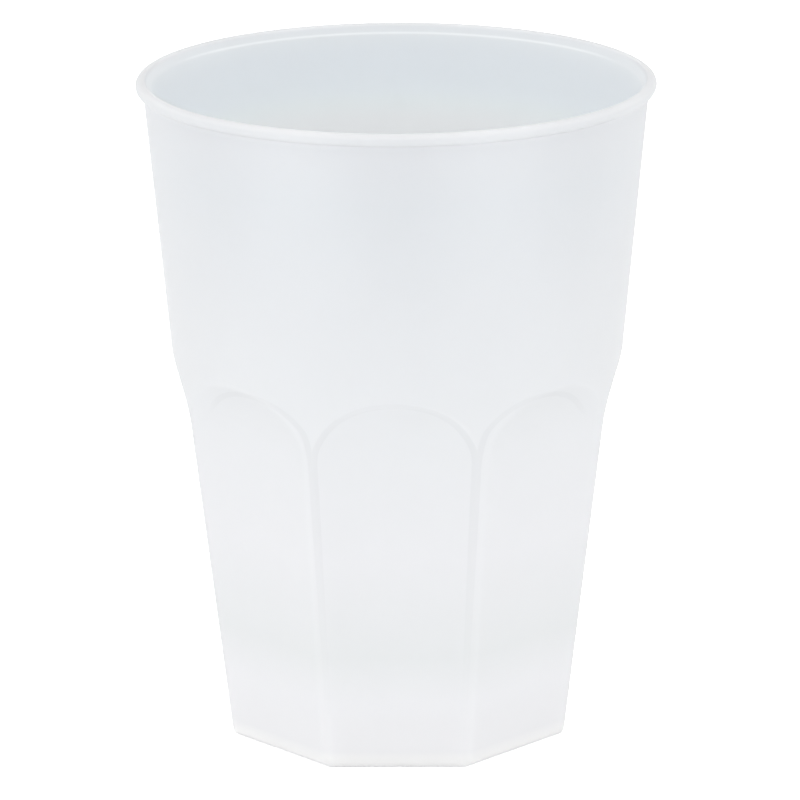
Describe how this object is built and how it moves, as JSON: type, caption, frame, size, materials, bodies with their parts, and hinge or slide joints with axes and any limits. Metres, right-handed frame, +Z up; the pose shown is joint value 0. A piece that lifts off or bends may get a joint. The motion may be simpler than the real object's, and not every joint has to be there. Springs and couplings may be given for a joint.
{
  "type": "plastic tumbler cup",
  "caption": "Frosted plastic drinking tumbler: round mouth with a rolled bead lip, tapering wall, flat arched panels round the lower body and an octagonal recessed foot.",
  "frame": {"origin": "middle of the foot, on the surface that the cup stands on", "axes": "+Z up along the cup's axis to the mouth; one flat panel faces -Y"},
  "size_m": [0.085, 0.085, 0.11],
  "materials": {
    "frosted_plastic": "frosted translucent, fine satin"
  },
  "bodies": {
    "root": {"tumbler": "frosted_plastic"}
  },
  "joints": []
}
